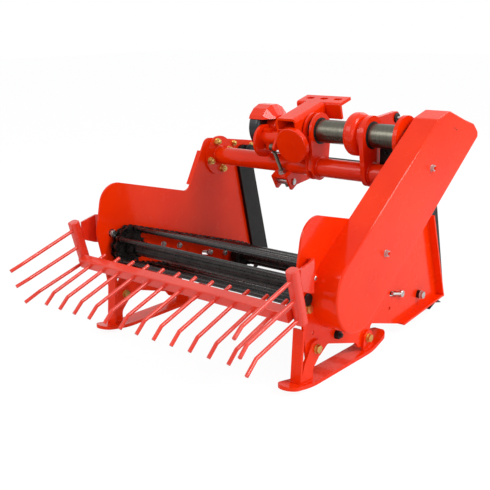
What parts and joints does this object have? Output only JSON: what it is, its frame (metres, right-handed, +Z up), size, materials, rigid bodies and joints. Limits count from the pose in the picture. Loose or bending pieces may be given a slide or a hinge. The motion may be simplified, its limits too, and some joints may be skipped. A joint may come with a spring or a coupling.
{
  "type": "potato digger",
  "caption": "Towed potato digger with a rod web between side plates, a rear rake of bent tines, skids, a chain cover and a tilting hitch head.",
  "frame": {"origin": "bottom centre of the bounding box, under the skids", "axes": "+X to the machine's right, the chain cover's side; +Y forward to the tractor, with the share in front and the rake behind; +Z up"},
  "size_m": [0.7221, 0.9086, 0.5465],
  "materials": {
    "red_paint": "gloss",
    "polished_steel": "satin",
    "black_steel": "satin",
    "black_plastic": "gloss",
    "black_rubber": "matte",
    "zinc": "satin",
    "cast_iron": "satin"
  },
  "bodies": {
    "frame": {"side_plate_right": "red_paint", "side_plate_left": "red_paint", "cross_tube": "red_paint", "centre_leg": "red_paint", "lobe_plate": "red_paint", "stop_plate": "black_steel", "guide_bushes": "black_rubber", "end_disc": "red_paint", "chain_cover": "red_paint", "cover_back": "red_paint", "clevis": "red_paint", "clevis_trunnion": "zinc", "web": "black_steel", "drive_shaft": "black_steel", "front_roller": "black_steel", "shaft_bearing": "cast_iron", "share": "black_steel", "share_arm_right": "black_steel", "share_arm_left": "black_steel", "front_bar": "black_steel", "skid_right": "red_paint", "skid_left": "red_paint", "skid_leg_right": "red_paint", "skid_leg_left": "red_paint", "pivot_bolt_right": "zinc", "pivot_bolt_left": "zinc"},
    "head": {"hitch_bracket": "red_paint", "hitch_housing": "red_paint", "hitch_angle": "red_paint", "input_neck": "red_paint", "pto_guard": "black_plastic", "guard_hood": "red_paint", "guide_tube": "polished_steel", "collar_ring": "red_paint"},
    "pto": {"pto_stub": "polished_steel"},
    "screw": {"adjusting_screw": "zinc"},
    "rake": {"rake_bar": "red_paint", "rake_post_right": "red_paint", "rake_post_left": "red_paint"}
  },
  "joints": [
    {"name": "depth_adjust", "type": "hinge", "parent": "frame", "child": "head", "pos_m": [-0.01895, 0.22885, 0.47], "axis": [1, 0, 0], "range_deg": [-8, 3]},
    {"name": "screw_swing", "type": "hinge", "parent": "head", "child": "screw", "pos_m": [-0.07295, 0.16277, 0.42846], "axis": [1, 0, 0], "range_deg": [-3.2, 8.21]},
    {"name": "pto_spin", "type": "hinge", "parent": "head", "child": "pto", "pos_m": [-0.14595, 0.22885, 0.47], "axis": [1, 0, 0], "continuous": true},
    {"name": "rake_tilt", "type": "hinge", "parent": "frame", "child": "rake", "pos_m": [-0.01895, -0.17565, 0.236], "axis": [1, 0, 0], "range_deg": [-12, 12]}
  ],
  "couplings": [
    {"joint": "screw_swing", "follows": "depth_adjust", "ratio": -1.0013}
  ]
}
